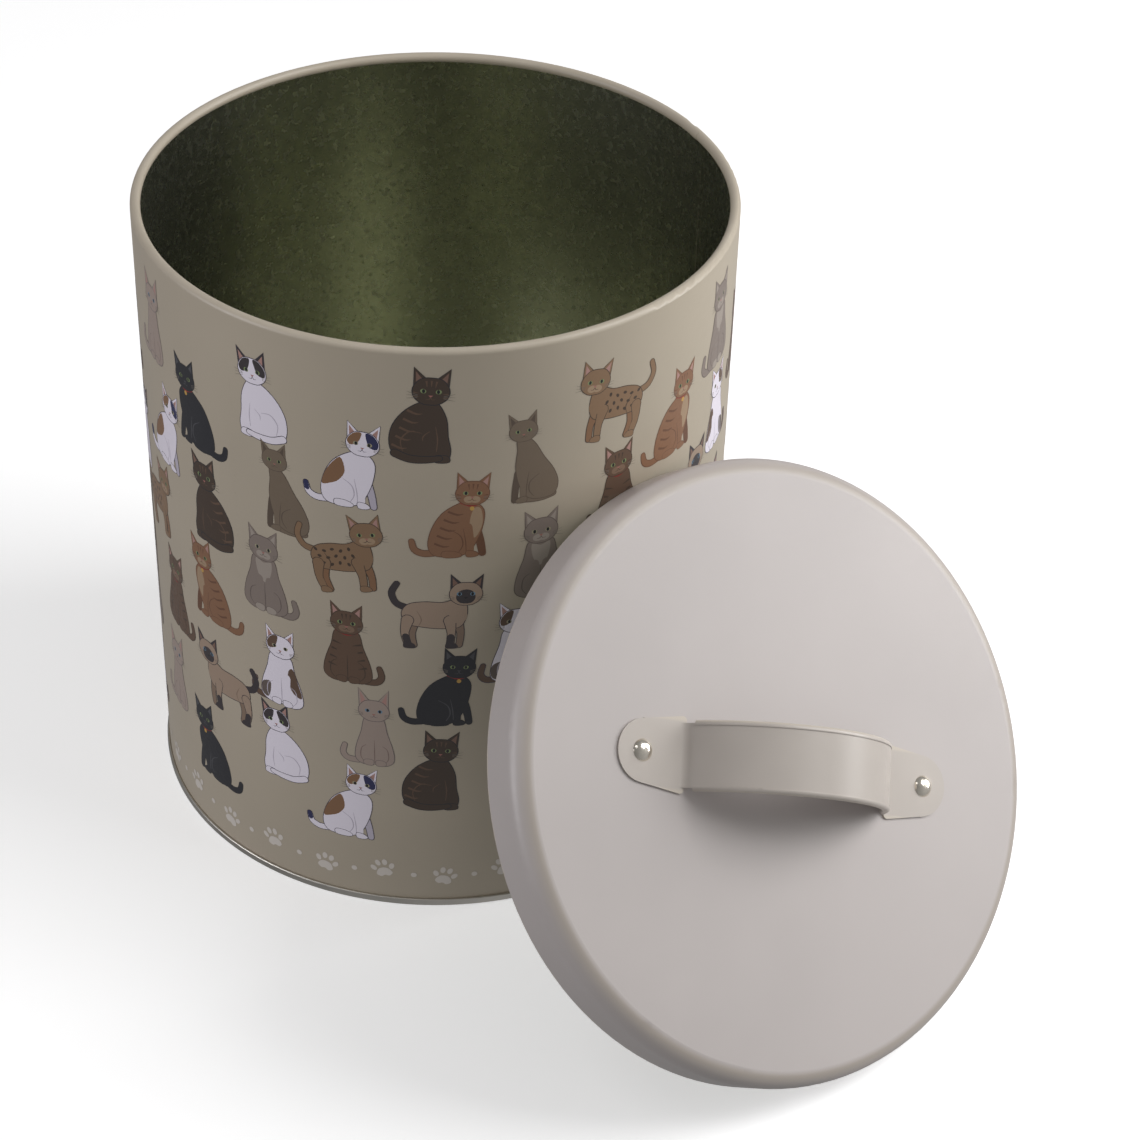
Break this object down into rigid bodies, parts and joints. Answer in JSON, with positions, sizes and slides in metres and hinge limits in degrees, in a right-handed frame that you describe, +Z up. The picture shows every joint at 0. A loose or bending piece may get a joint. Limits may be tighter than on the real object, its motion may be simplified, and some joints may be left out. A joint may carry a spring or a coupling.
{
  "type": "pet food bin",
  "caption": "Round tinplate pet food bin with a printed wall, a curled rim, a double-seamed base and a slip-over lid with a riveted strap handle, leaning on it.",
  "frame": {"origin": "on the bin's axis, in the plane that the bin stands on", "axes": "+Z up the bin's axis; -Y from the bin towards the leaning lid; +X level along the lid"},
  "size_m": [0.2126, 0.3518, 0.238],
  "materials": {
    "body_lacquer": "satin lacquer over tinplate, printed with cats outside, gold-green lacquer inside",
    "bare_tinplate": "bright bare tinplate at the seam, lacquered inside",
    "seam_compound": "soft lining compound",
    "lid_lacquer": "fine satin lacquer",
    "handle_lacquer": "satin lacquer",
    "nickel": "bright nickel plate",
    "washer_steel": "plain plated steel"
  },
  "bodies": {
    "bin": {"body_shell": "body_lacquer", "bottom_end": "bare_tinplate", "base_seam_compound": "seam_compound"},
    "lid": {"lid_shell": "lid_lacquer", "handle_strap": "handle_lacquer", "handle_rivet_left": "nickel", "handle_rivet_right": "nickel", "rivet_washer_left": "washer_steel", "rivet_washer_right": "washer_steel"}
  },
  "joints": [
    {"name": "lid_lift", "type": "slide", "parent": "bin", "child": "lid", "axis": [0, 0, 1], "range_m": [0, 0.245]}
  ]
}
